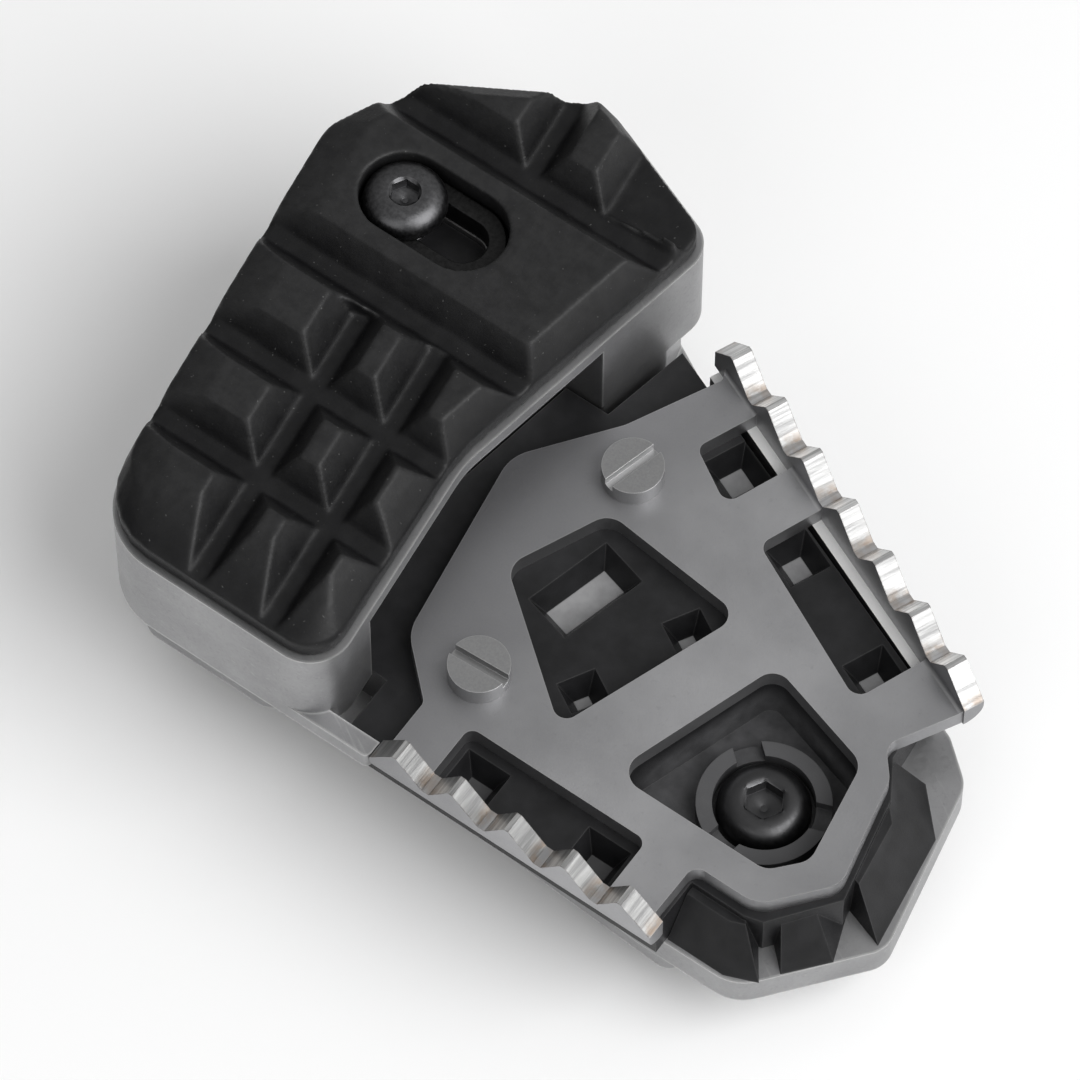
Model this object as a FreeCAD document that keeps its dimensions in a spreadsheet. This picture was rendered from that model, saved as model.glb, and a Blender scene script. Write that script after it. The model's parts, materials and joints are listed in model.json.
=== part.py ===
"""Brake pedal extension: a two-level foot pedal head that bolts to a brake lever.

A cast body carries a raised block with a rubber pad, which slides sideways on a slot, and a
low tread with a toothed sheet plate on a moulded base. Every outline below is written round
the tread datum, a point on the top face of the tread plate. The finished pieces are placed so
that the origin is the middle of the lever seat on the underside, with +X towards the tip,
+Y forwards and +Z up. Lengths are millimetres.
"""

import FreeCAD, Part
import math
import os

Vector = FreeCAD.Vector

doc = FreeCAD.newDocument("brake_pedal_extension")

# Driving dimensions

SIZES = {
    # Place of the tread datum, seen from the lever seat
    "seat_datum_x": 28.0,
    "seat_datum_y": 10.0,
    # Cast body
    "carrier_thickness": 4.5,
    "seat_drop": 1.0,
    "keel_depth": 2.5,
    "block_rise": 12.0,
    "block_skirt": 2.5,
    "block_wall": 4.0,
    "deck_thickness": 4.0,
    "lip_thickness": 2.0,
    "lip_overhang": 5.0,
    "rail_thickness": 2.4,
    "toe_thickness": 2.3,
    "boss_width": 20.0,
    "boss_length": 38.0,
    "seat_hole_diameter": 6.0,
    "seat_hole_depth": 14.0,
    "seat_hole_spacing": 26.0,
    # Rubber pad and its backing plate
    "pad_inset": 0.8,
    "pad_back_inset": 0.2,
    "pad_height": 6.0,
    "pad_shoulder": 4.6,
    "pad_floor": 2.4,
    "groove_floor": 2.0,
    "groove_slope": 2.6,
    "backing_thickness": 1.5,
    "backing_margin": 2.0,
    "land_rise": 2.0,
    "pad_travel": 7.8,
    "pad_screw_x": -34.8,
    "pad_screw_y": 18.0,
    # Tread base
    "base_height": 6.5,
    "base_gap": 0.3,
    "lug_drop": 1.0,
    "pocket_depth": 3.0,
    "pocket_taper": 25.0,
    "bowl_floor": 1.5,
    "bowl_taper": 8.0,
    # Tread plate
    "plate_thickness": 2.5,
    "tooth_pitch": 7.4,
    "tooth_top": 4.2,
    "tooth_root": 0.6,
    "bend_radius": 0.5,
    "bend_outer_radius": 2.2,
    "front_edge_y": -33.0,
    "apex_y": 42.4,
    "rear_angle": 23.5,
    # Fasteners
    "pad_screw_diameter": 5.0,
    "pad_head_diameter": 9.5,
    "pad_head_height": 2.75,
    "pad_hex": 3.0,
    "plate_screw_diameter": 4.0,
    "plate_head_diameter": 7.0,
    "plate_head_height": 2.6,
    "plate_slot_width": 1.2,
    "plate_slot_depth": 1.1,
    "base_screw_diameter": 6.0,
    "base_head_diameter": 10.5,
    "base_head_height": 3.3,
    "base_hex": 4.0,
    "base_screw_x": 33.6,
    "base_screw_y": -10.3,
    "collar_wall": 1.8,
    "collar_height": 2.4,
    "collar_notch": 3.2,
    "hole_clearance": 0.4,
    "thread_gap": 0.1,
    "thread_end": 1.0,
}

sheet = doc.addObject("Spreadsheet::Sheet", "Sizes")
for row, (alias, value) in enumerate(SIZES.items(), start=1):
    sheet.set("A%d" % row, alias)
    sheet.set("B%d" % row, str(value))
    sheet.setAlias("B%d" % row, alias)
doc.recompute()


def size(alias):
    """Value of one cell of the sheet, in millimetres or degrees."""
    return float(getattr(sheet, alias))


# Heights above the tread datum, as expressions of the sheet

PLATE_UNDERSIDE = "-Sizes.plate_thickness"
CARRIER_TOP = "-Sizes.plate_thickness - Sizes.base_height"
CARRIER_UNDERSIDE = CARRIER_TOP + " - Sizes.carrier_thickness"
SEAT_LEVEL = CARRIER_UNDERSIDE + " - Sizes.seat_drop"
SKIRT_LEVEL = "-Sizes.block_skirt"
DECK_UNDERSIDE = "Sizes.block_rise - Sizes.deck_thickness"
DECK_TOP = "Sizes.block_rise"
LAND_TOP = "Sizes.block_rise + Sizes.backing_thickness + Sizes.land_rise"

# Outlines in plan: corner x, corner y, corner radius


def tip(x, y, radius=0.0):
    """A corner near the tip, placed from the base screw, which everything there goes round."""
    return (size("base_screw_x") + x, size("base_screw_y") + y, radius)


BLOCK_NEAR_EDGE = size("front_edge_y")
BLOCK_OUTLINE = [
    (-39.9, BLOCK_NEAR_EDGE, 9.0),
    (-8.2, BLOCK_NEAR_EDGE, 5.0),
    (-11.6, -3.0, 14.0),
    (-5.3, 35.0, 4.0),
    (-24.0, size("apex_y"), 6.0),
    (-42.9, 31.2, 3.0),
    (-47.9, 20.3, 5.0),
]
UNDERCUT_NEAR_Y = -23.5
UNDERCUT_FAR_Y = 18.0
POST_FAR_Y = 28.0

CARRIER_OUTLINE = [
    (-38.0, -28.5, 4.0),
    (12.0, -27.5, 30.0),
    (30.0, -28.7, 20.0),
    tip(9.0, -18.3, 5.5),
    tip(19.8, -5.1, 3.5),
    tip(15.6, 16.1, 3.5),
    (44.6, 9.6, 2.0),
    (-4.0, 30.6, 2.0),
    (-12.0, 35.0, 4.0),
    (-20.0, 30.0, 4.0),
    (-20.0, 12.0, 4.0),
    (-38.0, 9.5, 4.0),
]

KEEL_OUTLINE = [
    (-12.0, -27.0, 1.0),
    (12.0, -27.5, 30.0),
    (34.5, -28.7, 2.2),
    (35.4, -23.6, 2.2),
    (-12.0, -23.0, 1.0),
]

UPPER_WINDOW = [(1.0, 6.6, 2.6), (19.8, 4.6, 2.0), (11.6, -17.8, 1.5), (-4.4, -5.2, 2.6)]
LOWER_WINDOW = [
    tip(-7.0, 12.1, 2.2),
    tip(7.2, 7.9, 2.5),
    tip(9.3, -4.9, 2.5),
    tip(6.0, -8.6, 2.4),
    tip(-14.0, -8.6, 2.4),
]

PLATE_SCREWS = [(0.4, 11.8, 75.0), (1.0, -17.8, 3.0)]


def inset_outline(corners, distances):
    """Corners of a counter-clockwise outline moved inwards, by one distance or one for each edge."""
    count = len(corners)
    if not isinstance(distances, (list, tuple)):
        distances = [distances] * count
    moved = []
    for index in range(count):
        before = Vector(*corners[index - 1][:2], 0)
        here = Vector(*corners[index][:2], 0)
        after = Vector(*corners[(index + 1) % count][:2], 0)
        into = (here - before).normalize()
        out = (after - here).normalize()
        turn = into.x * out.y - into.y * out.x
        # The two moved edges meet where both distances are kept
        step = (out * distances[index - 1] - into * distances[index]) * (1 / turn)
        corner = here + step
        shift = (distances[index - 1] + distances[index]) / 2
        radius = corners[index][2]
        if radius > 0:
            radius = max(radius - shift, 0.6) if turn > 0 else radius + shift
        moved.append((corner.x, corner.y, radius))
    return moved


def rounded_edges(corners):
    """Lines and arcs of a closed outline whose corners have the radii given."""
    pieces = []
    tangents = []
    count = len(corners)
    for index in range(count):
        before = Vector(*corners[index - 1][:2], 0)
        here = Vector(*corners[index][:2], 0)
        after = Vector(*corners[(index + 1) % count][:2], 0)
        radius = corners[index][2]
        to_before = (before - here).normalize()
        to_after = (after - here).normalize()
        half = to_before.getAngle(to_after) / 2
        if radius <= 0 or abs(half - math.pi / 2) < 1e-6:
            tangents.append((here, here, None))
            continue
        reach = radius / math.tan(half)
        start = here + to_before * reach
        end = here + to_after * reach
        towards = (to_before + to_after).normalize()
        middle = here + towards * (radius / math.sin(half) - radius)
        tangents.append((start, end, middle))
    for index in range(count):
        start, end, middle = tangents[index]
        if middle is not None:
            pieces.append(Part.Arc(start, middle, end))
        next_start = tangents[(index + 1) % count][0]
        pieces.append(Part.LineSegment(end, next_start))
    return pieces


def closed_lines(points):
    """Straight edges from point to point and back to the first."""
    return [Part.LineSegment(points[i - 1], points[i]) for i in range(len(points))]


def faceted_edges(corners, step=15.0):
    """A closed outline whose rounded corners are short straight facets, each turning by about one step."""
    points = []
    count = len(corners)
    for index in range(count):
        before = Vector(*corners[index - 1][:2], 0)
        here = Vector(*corners[index][:2], 0)
        after = Vector(*corners[(index + 1) % count][:2], 0)
        radius = corners[index][2]
        to_before = (before - here).normalize()
        to_after = (after - here).normalize()
        half = to_before.getAngle(to_after) / 2
        turn = math.pi - 2 * half
        left = to_before.cross(to_after).z < 0
        start = here + to_before * (radius / math.tan(half))
        centre = here + (to_before + to_after).normalize() * (radius / math.sin(half))
        facets = max(1, round(math.degrees(turn) / step))
        for facet in range(facets + 1):
            angle = math.degrees(turn) * facet / facets
            spoke = FreeCAD.Rotation(Vector(0, 0, 1), angle if left else -angle)
            points.append(centre + spoke.multVec(start - centre))
    return closed_lines(points)


def slot_edges(x, y, travel, radius):
    """A round-ended slot that runs from a point along +X."""
    low = Vector(0, -radius, 0)
    high = Vector(0, radius, 0)
    left = Vector(x, y, 0)
    right = Vector(x + travel, y, 0)
    return [
        Part.LineSegment(left + low, right + low),
        Part.Arc(right + low, right + Vector(radius, 0, 0), right + high),
        Part.LineSegment(right + high, left + high),
        Part.Arc(left + high, left - Vector(radius, 0, 0), left + low),
    ]


def circle_edges(x, y, radius):
    return [Part.Circle(Vector(x, y, 0), Vector(0, 0, 1), radius)]


# Builders for bodies, sketches and features


def new_body(name, at_datum=True):
    """A body whose own origin is the tread datum."""
    body = doc.addObject("PartDesign::Body", name)
    body.Label = name
    if at_datum:
        body.setExpression(".Placement.Base.x", "Sizes.seat_datum_x")
        body.setExpression(".Placement.Base.y", "Sizes.seat_datum_y")
        body.setExpression(".Placement.Base.z", "-(%s)" % SEAT_LEVEL)
    return body


def origin_plane(body, role):
    for feature in body.Origin.OriginFeatures:
        if feature.Role == role:
            return feature
    raise ValueError("no plane " + role)


def new_sketch(body, name, edges, level="0", role="XY_Plane"):
    """A sketch on one of the body's own planes, raised to a level."""
    sketch = body.newObject("Sketcher::SketchObject", name)
    sketch.AttachmentSupport = [(origin_plane(body, role), "")]
    sketch.MapMode = "FlatFace"
    sketch.setExpression(".AttachmentOffset.Base.z", level)
    sketch.addGeometry(edges, False)
    doc.recompute()
    return sketch


def finished(feature):
    """The feature after a recompute, which has to leave it without an error."""
    doc.recompute()
    if "Invalid" in feature.State or "Error" in feature.State:
        raise RuntimeError("%s failed: %s" % (feature.Name, feature.getStatusString()))
    return feature


def pad(body, name, sketch, length, downwards=False):
    feature = body.newObject("PartDesign::Pad", name)
    feature.Profile = sketch
    feature.setExpression("Length", length)
    feature.Reversed = downwards
    return finished(feature)


def pocket(body, name, sketch, length, upwards=False, taper=None):
    """A pocket that must take material away, with an expression for how much its walls close in."""
    before = body.Shape.Volume
    feature = body.newObject("PartDesign::Pocket", name)
    feature.Profile = sketch
    feature.setExpression("Length", length)
    feature.Reversed = upwards
    if taper:
        feature.setExpression("TaperAngle", "-(%s)" % taper)
    finished(feature)
    if body.Shape.Volume > before - 1e-3:
        raise RuntimeError("pocket %s cuts nothing" % name)
    return feature


def ruled_loft(body, name, lower, upper):
    feature = body.newObject("PartDesign::AdditiveLoft", name)
    feature.Profile = lower
    feature.Sections = [upper]
    feature.Ruled = True
    return finished(feature)


def fillet(body, name, radius, belongs):
    """A fillet along the edges of the body's last feature that pass a test."""
    base = body.Tip
    edges = ["Edge%d" % number for number, edge in enumerate(base.Shape.Edges, start=1) if belongs(edge)]
    if not edges:
        raise RuntimeError("fillet %s finds no edge" % name)
    feature = body.newObject("PartDesign::Fillet", name)
    feature.Base = (base, edges)
    feature.setExpression("Radius", radius)
    return finished(feature)


# Cast body

TOE_START_X = -14.0


def block_edge_x(y):
    """x of the block's tip-side edge at one y, along its two straight runs."""
    near, waist, far = BLOCK_OUTLINE[1], BLOCK_OUTLINE[2], BLOCK_OUTLINE[3]
    low, high = (near, waist) if y < waist[1] else (waist, far)
    share = (y - low[1]) / (high[1] - low[1])
    return low[0] + share * (high[0] - low[0])


def undercut_line(shift):
    """Three points of a line parallel to the block's tip-side edge, set back by a shift."""
    waist_y = BLOCK_OUTLINE[2][1]
    return [(block_edge_x(y) - shift, y) for y in (UNDERCUT_NEAR_Y, waist_y, UNDERCUT_FAR_Y)]


def build_pedal_body():
    body = new_body("pedal_body")
    overhang = size("lip_overhang")
    wall = size("block_wall")

    block = new_sketch(body, "block_outline", rounded_edges(BLOCK_OUTLINE), SKIRT_LEVEL)
    pad(body, "block", block, "Sizes.block_rise + Sizes.block_skirt")

    # Hollow underside, with a thicker wall on the tip side for the undercut
    hollow = inset_outline(BLOCK_OUTLINE, wall)
    set_back = undercut_line(overhang + wall)
    hollow[1] = (set_back[0][0], hollow[1][1], 2.0)
    hollow[2] = (set_back[1][0], set_back[1][1], 10.0)
    hollow[3] = (set_back[2][0], hollow[3][1] - 1.0, 2.0)
    hollow_sketch = new_sketch(body, "hollow_outline", faceted_edges(hollow), SKIRT_LEVEL)
    hollow_depth = "Sizes.block_rise + Sizes.block_skirt - Sizes.deck_thickness"
    pocket(body, "hollow", hollow_sketch, hollow_depth, upwards=True)

    # Undercut below the lip on the tip side
    line = undercut_line(overhang)
    outside = 2 * overhang
    undercut = [(x, y, 0) for x, y in reversed(line)]
    undercut[1] = (undercut[1][0], undercut[1][1], 8.0)
    undercut = undercut + [(line[0][0] + outside, line[0][1], 0), (line[2][0] + outside, line[2][1], 0)]
    undercut_sketch = new_sketch(body, "undercut_outline", rounded_edges(undercut), SKIRT_LEVEL)
    undercut_depth = "Sizes.block_rise + Sizes.block_skirt - Sizes.lip_thickness"
    pocket(body, "undercut", undercut_sketch, undercut_depth, upwards=True)

    # Web under the undercut wall and post under the forward corner, down to the carrier's underside
    back = undercut_line(overhang + wall)
    web = [(x, y, 0) for x, y in back] + [(x, y, 0) for x, y in reversed(line)]
    post = [
        (line[2][0] - wall, UNDERCUT_FAR_Y, 0),
        (block_edge_x(UNDERCUT_FAR_Y), UNDERCUT_FAR_Y, 0.5),
        (block_edge_x(POST_FAR_Y), POST_FAR_Y, 1.0),
        (-7.6, 33.0, 2.5),
        (-12.0, 35.0, 3.0),
        (-18.5, 30.0, 3.0),
    ]
    web_height = "%s - (%s)" % (SKIRT_LEVEL, CARRIER_UNDERSIDE)
    web_sketch = new_sketch(body, "web_outline", rounded_edges(web), SKIRT_LEVEL)
    pad(body, "web", web_sketch, web_height, downwards=True)
    post_sketch = new_sketch(body, "post_outline", rounded_edges(post), SKIRT_LEVEL)
    pad(body, "post", post_sketch, web_height, downwards=True)

    # Low carrier under the tread
    carrier_sketch = new_sketch(body, "carrier_outline", rounded_edges(CARRIER_OUTLINE), CARRIER_UNDERSIDE)
    pad(body, "carrier", carrier_sketch, "Sizes.carrier_thickness")

    keel_sketch = new_sketch(body, "keel_outline", rounded_edges(KEEL_OUTLINE), CARRIER_UNDERSIDE)
    pad(body, "keel", keel_sketch, "Sizes.keel_depth", downwards=True)

    # Rail under the rear flange and toe beside the front flange
    rail_sketch = new_sketch(body, "rail_outline", rounded_edges(rail_outline()), CARRIER_TOP)
    pad(body, "rail", rail_sketch, "Sizes.base_height")
    toe_inner = BLOCK_NEAR_EDGE + size("toe_thickness")
    toe_end = FRONT_FLANGE_START - size("base_gap")
    toe = [
        (TOE_START_X, BLOCK_NEAR_EDGE, 0),
        (toe_end, BLOCK_NEAR_EDGE, 0.8),
        (toe_end, toe_inner, 0),
        (TOE_START_X, toe_inner, 0),
    ]
    toe_sketch = new_sketch(body, "toe_outline", rounded_edges(toe), SKIRT_LEVEL)
    pad(body, "toe", toe_sketch, "Sizes.block_skirt")

    # Lever boss, which stands proud of the carrier's underside, with two tapped holes in its seat
    seat_x = -size("seat_datum_x")
    seat_y = -size("seat_datum_y")
    half_width = size("boss_width") / 2
    half_length = size("boss_length") / 2
    boss = [
        (seat_x - half_width, seat_y - half_length, 3.0),
        (seat_x + half_width, seat_y - half_length, 3.0),
        (seat_x + half_width, seat_y + half_length, 3.0),
        (seat_x - half_width, seat_y + half_length, 3.0),
    ]
    boss_sketch = new_sketch(body, "boss_outline", rounded_edges(boss), SEAT_LEVEL)
    pad(body, "lever_boss", boss_sketch, "%s - (%s)" % (DECK_UNDERSIDE, SEAT_LEVEL))
    half_spacing = size("seat_hole_spacing") / 2
    seat_holes = []
    for y in (seat_y - half_spacing, seat_y + half_spacing):
        seat_holes += circle_edges(seat_x, y, size("seat_hole_diameter") / 2)
    seat_sketch = new_sketch(body, "seat_hole_circles", seat_holes, SEAT_LEVEL)
    pocket(body, "seat_holes", seat_sketch, "Sizes.seat_hole_depth", upwards=True)

    # Slot for the pad screw and holes for the plate screws and the base screw
    deck_slot_radius = (size("pad_screw_diameter") + size("hole_clearance")) / 2
    deck_slot = slot_edges(size("pad_screw_x"), size("pad_screw_y"), size("pad_travel"), deck_slot_radius)
    deck_slot_sketch = new_sketch(body, "deck_slot_outline", deck_slot, DECK_TOP)
    pocket(body, "deck_slot", deck_slot_sketch, "Sizes.deck_thickness")
    holes = tread_hole_edges()
    holes_sketch = new_sketch(body, "carrier_hole_circles", holes, CARRIER_TOP)
    pocket(body, "carrier_holes", holes_sketch, "Sizes.carrier_thickness + Sizes.keel_depth")
    return body


def tread_hole_edges():
    """Clearance holes of the plate screws and the base screw."""
    clearance = size("hole_clearance")
    plate_radius = (size("plate_screw_diameter") + clearance) / 2
    base_radius = (size("base_screw_diameter") + clearance) / 2
    edges = []
    for x, y, _ in PLATE_SCREWS:
        edges += circle_edges(x, y, plate_radius)
    edges += circle_edges(size("base_screw_x"), size("base_screw_y"), base_radius)
    return edges


# Flanges of the tread plate

FRONT_TEETH = 5
REAR_TEETH = 7
FRONT_FLANGE_START = -2.6
REAR_FLANGE_START = (-1.1, 29.6)
RAIL_START = 1.0
RAIL_END_MARGIN = 4.0
BASE_END_MARGIN = 4.5


def rear_point(along, outwards):
    """A point beside the inner face of the rear flange, in plan."""
    angle = math.radians(size("rear_angle"))
    x = REAR_FLANGE_START[0] + along * math.cos(angle) + outwards * math.sin(angle)
    y = REAR_FLANGE_START[1] - along * math.sin(angle) + outwards * math.cos(angle)
    return x, y


def rear_length():
    return REAR_TEETH * size("tooth_pitch")


def rail_outline():
    """Strip under the rear flange, half below the flange and half inside it."""
    inner = -size("rail_thickness") / 2
    outer = size("rail_thickness") / 2
    end = rear_length() - RAIL_END_MARGIN
    ends = [(end, inner), (end, outer), (RAIL_START, outer), (RAIL_START, inner)]
    corners = [rear_point(along, outwards) for along, outwards in ends]
    return [(x, y, 0) for x, y in corners]


def toothed_profile(teeth):
    """Side view of a flange: straight foot and a row of teeth with narrow flat roots."""
    pitch = size("tooth_pitch")
    top = size("tooth_top")
    root = size("tooth_root")
    foot = -size("plate_thickness")
    half_root = 0.06 * pitch
    half_tip = 0.04 * pitch
    points = [Vector(0, foot, 0), Vector(teeth * pitch, foot, 0)]
    for tooth in reversed(range(teeth)):
        start = tooth * pitch
        points.append(Vector(start + pitch - half_root, root, 0))
        points.append(Vector(start + 0.45 * pitch + half_tip, top, 0))
        points.append(Vector(start + 0.45 * pitch - half_tip, top, 0))
        points.append(Vector(start + half_root, root, 0))
    points[2] = Vector(teeth * pitch, root, 0)
    points[-1] = Vector(0, root, 0)
    return closed_lines(points)


def plate_outline():
    """Flat of the plate, with the tabs that carry the two flanges."""
    front = size("front_edge_y")
    thickness = size("plate_thickness")
    length = rear_length()
    rear_start = rear_point(0, thickness)
    rear_end = rear_point(length, thickness)
    return [
        (rear_end[0], rear_end[1], 0),
        (rear_start[0], rear_start[1], 0),
        (*rear_point(3.2, -1.0), 0.8),
        (-4.0, 16.6, 5.0),
        (-12.0, 6.0, 5.0),
        (-8.3, -18.0, 5.0),
        (-1.9, -24.0, 1.2),
        (-1.9, front, 0),
        (3.9, front, 0),
        (3.9, -23.5, 1.2),
        (27.3, -23.5, 1.2),
        (27.3, front, 0),
        (32.9, front, 0),
        (33.1, -22.8, 1.4),
        tip(7.6, -12.5, 4.0),
        tip(13.6, -5.3, 3.0),
        tip(10.7, 8.1, 2.2),
        tip(8.0, 11.3, 2.0),
    ]


def rear_windows():
    """Two windows that run out to the inner face of the rear flange."""
    pitch = size("tooth_pitch")
    small = [
        (4.0, 18.9, 1.2),
        (10.6, 14.9, 1.4),
        (*rear_point(2.22 * pitch, 0), 0),
        (*rear_point(1.2 * pitch, 0), 0),
    ]
    large = [
        (16.5, 13.0, 1.4),
        (35.8, 3.5, 1.6),
        (*rear_point(5.95 * pitch, 0), 0),
        (*rear_point(3.05 * pitch, 0), 0),
    ]
    return [small, large]


def runs_along_bend(edge, outwards, level):
    """Whether an edge lies at a level, at a distance outwards from the inner face of either flange."""
    angle = math.radians(size("rear_angle"))
    front_inner = size("front_edge_y") + size("plate_thickness")
    front = []
    rear = []
    for vertex in edge.Vertexes:
        x, y, z = vertex.Point
        across = (x - REAR_FLANGE_START[0]) * math.sin(angle) + (y - REAR_FLANGE_START[1]) * math.cos(angle)
        at_level = abs(z - level) < 1e-4
        front.append(at_level and abs(front_inner - y - outwards) < 1e-4)
        rear.append(at_level and abs(across - outwards) < 1e-4)
    return len(front) == 2 and (all(front) or all(rear))


def build_tread_plate():
    body = new_body("tread_plate")
    thickness = size("plate_thickness")
    clearance = size("hole_clearance")
    flat_sketch = new_sketch(body, "flat_outline", rounded_edges(plate_outline()), PLATE_UNDERSIDE)
    pad(body, "flat", flat_sketch, "Sizes.plate_thickness")

    front = new_sketch(body, "front_profile", toothed_profile(FRONT_TEETH), role="XZ_Plane")
    front.AttachmentOffset = FreeCAD.Placement(
        Vector(FRONT_FLANGE_START, 0, 0), FreeCAD.Rotation()
    )
    front.setExpression(".AttachmentOffset.Base.z", "-Sizes.front_edge_y")
    pad(body, "front_flange", front, "Sizes.plate_thickness", downwards=True)

    rear = new_sketch(body, "rear_profile", toothed_profile(REAR_TEETH), role="XZ_Plane")
    turn = FreeCAD.Rotation(Vector(0, 1, 0), -size("rear_angle"))
    rear_x, rear_y = REAR_FLANGE_START
    rear.setExpression(".AttachmentOffset.Base.z", None)
    rear.AttachmentOffset = FreeCAD.Placement(Vector(rear_x, 0, -rear_y), turn)
    pad(body, "rear_flange", rear, "Sizes.plate_thickness", downwards=True)

    # Bends: a small radius inside and a large one outside
    fillet(body, "bend_inside", "Sizes.bend_radius", lambda edge: runs_along_bend(edge, 0.0, 0.0))
    fillet(
        body,
        "bend_outside",
        "Sizes.bend_outer_radius",
        lambda edge: runs_along_bend(edge, thickness, -thickness),
    )

    windows = []
    for corners in [UPPER_WINDOW, LOWER_WINDOW] + rear_windows():
        windows += rounded_edges(corners)
    for x, y, _ in PLATE_SCREWS:
        windows += circle_edges(x, y, (size("plate_screw_diameter") + clearance) / 2)
    window_sketch = new_sketch(body, "window_outlines", windows, "Sizes.bend_radius")
    pocket(body, "windows", window_sketch, "Sizes.plate_thickness + Sizes.bend_radius")
    return body


# Moulded tread base


# Upright wall of the base round the tip, just outside the plate's edge
TIP_WALL = [
    tip(-0.2, -13.4),
    tip(6.6, -13.4),
    tip(8.8, -12.8),
    tip(14.3, -5.6),
    tip(11.6, 7.2),
    tip(8.9, 11.5),
]

# Sloping lugs outside that wall: corners of the foot, and how far each edge draws in at the top
TIP_LUGS = {
    "near_lug": (
        [tip(-0.1, -17.9), tip(7.2, -17.9), tip(10.9, -16.4), tip(7.4, -11.5), tip(-0.1, -11.5)],
        [3.5, 3.9, 1.5, 0.0, 0.0],
    ),
    "corner_lug": (
        [tip(12.2, -14.2), tip(16.0, -9.7), tip(13.4, -2.7), tip(7.4, -9.7)],
        [4.2, 3.0, 0.0, 0.8],
    ),
    "far_lug": (
        [tip(18.8, -5.3), tip(16.7, 8.8), tip(12.0, 13.7), tip(5.9, 11.4), tip(9.9, -2.3)],
        [4.1, 5.0, 0.0, 0.0, 1.0],
    ),
}


def base_outline():
    """Plan of the tread base without its lugs."""
    gap = size("base_gap")
    near, waist, far = undercut_line(size("lip_overhang") - gap)
    front = size("front_edge_y") + size("plate_thickness") + gap
    rail_side = -size("rail_thickness") / 2 - gap
    post_x = block_edge_x(UNDERCUT_FAR_Y) + 1.0
    corner_x = block_edge_x(front) + 1.0
    corners = [
        (near[0], UNDERCUT_NEAR_Y + gap),
        (corner_x, UNDERCUT_NEAR_Y + gap),
        (corner_x, front),
        (TIP_WALL[0][0], front),
    ]
    corners += [corner[:2] for corner in TIP_WALL]
    corners += [
        rear_point(rear_length() - BASE_END_MARGIN, rail_side),
        (post_x + 2.2, rear_point(-4.0, rail_side)[1] - 1.0),
        (post_x, UNDERCUT_FAR_Y - gap),
        (far[0], UNDERCUT_FAR_Y - gap),
        (waist[0], waist[1]),
    ]
    return [(x, y, 0) for x, y in corners]


# Pockets in the top of the base: middle x, middle y, length, width, turn in degrees
BASE_POCKETS = [
    (3.6, -1.6, 11.0, 6.2, 75.0),
    (15.6, 0.9, 4.6, 4.0, 60.0),
    (10.6, -11.8, 4.6, 4.0, 60.0),
    (8.6, 20.2, 5.6, 5.6, -23.5),
    (20.2, 15.2, 5.4, 5.2, -23.5),
    (35.2, 8.4, 5.4, 5.2, -23.5),
    (7.4, -27.0, 5.6, 4.6, 0.0),
    (23.4, -27.0, 5.6, 4.6, 0.0),
]


def turned_rectangle(x, y, length, width, degrees):
    angle = math.radians(degrees)
    corners = []
    for along, across in ((-1, -1), (1, -1), (1, 1), (-1, 1)):
        dx = along * length / 2
        dy = across * width / 2
        corner_x = x + dx * math.cos(angle) - dy * math.sin(angle)
        corner_y = y + dx * math.sin(angle) + dy * math.cos(angle)
        corners.append((corner_x, corner_y, 0))
    return corners


def build_tread_base():
    body = new_body("tread_base")
    core_sketch = new_sketch(body, "core_outline", rounded_edges(base_outline()), CARRIER_TOP)
    pad(body, "core", core_sketch, "Sizes.base_height")
    lug_top = "%s - Sizes.lug_drop" % PLATE_UNDERSIDE
    for name, (foot, draw) in TIP_LUGS.items():
        foot_sketch = new_sketch(body, name + "_foot", rounded_edges(foot), CARRIER_TOP)
        top_sketch = new_sketch(body, name + "_top", rounded_edges(inset_outline(foot, draw)), lug_top)
        ruled_loft(body, name, foot_sketch, top_sketch)

    # Bowl under the lower window
    bowl_sketch = new_sketch(body, "bowl_outline", faceted_edges(LOWER_WINDOW), PLATE_UNDERSIDE)
    pocket(body, "bowl", bowl_sketch, "Sizes.base_height - Sizes.bowl_floor", taper="Sizes.bowl_taper")

    # Bevelled pockets seen through the other windows
    for number, spot in enumerate(BASE_POCKETS, start=1):
        edges = rounded_edges(turned_rectangle(*spot))
        sketch = new_sketch(body, "pocket_%d_outline" % number, edges, PLATE_UNDERSIDE)
        pocket(body, "pocket_%d" % number, sketch, "Sizes.pocket_depth", taper="Sizes.pocket_taper")

    holes_sketch = new_sketch(body, "base_hole_circles", tread_hole_edges(), PLATE_UNDERSIDE)
    pocket(body, "base_holes", holes_sketch, "Sizes.base_height")
    return body


# Rubber pad and backing plate

ROW_GROOVES_Y = (28.8, 7.0, -6.2, -18.4)
COLUMN_GROOVES_X = (-30.7, -21.2)
COLUMN_START_Y = 4.5
COLUMN_LEAN = 7.3
APEX_GROOVE_X = -26.0
APEX_FLAT_X = -15.4

# How far the pad's shoulder and crown are drawn in from its foot, edge by edge from the near edge
SHOULDER_INSETS = [4.5, 2.0, 1.5, 1.0, 0.3, 0.3, 0.5]
CROWN_INSETS = [7.5, 3.5, 2.5, 2.0, 2.2, 3.0, 5.0]


def pad_outline():
    """Foot of the pad: a rim of the block shows on the near and tip sides, almost none at the back."""
    rim = size("pad_inset")
    back = size("pad_back_inset")
    return inset_outline(BLOCK_OUTLINE, [rim, rim, rim, rim, back, back, back])


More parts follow.
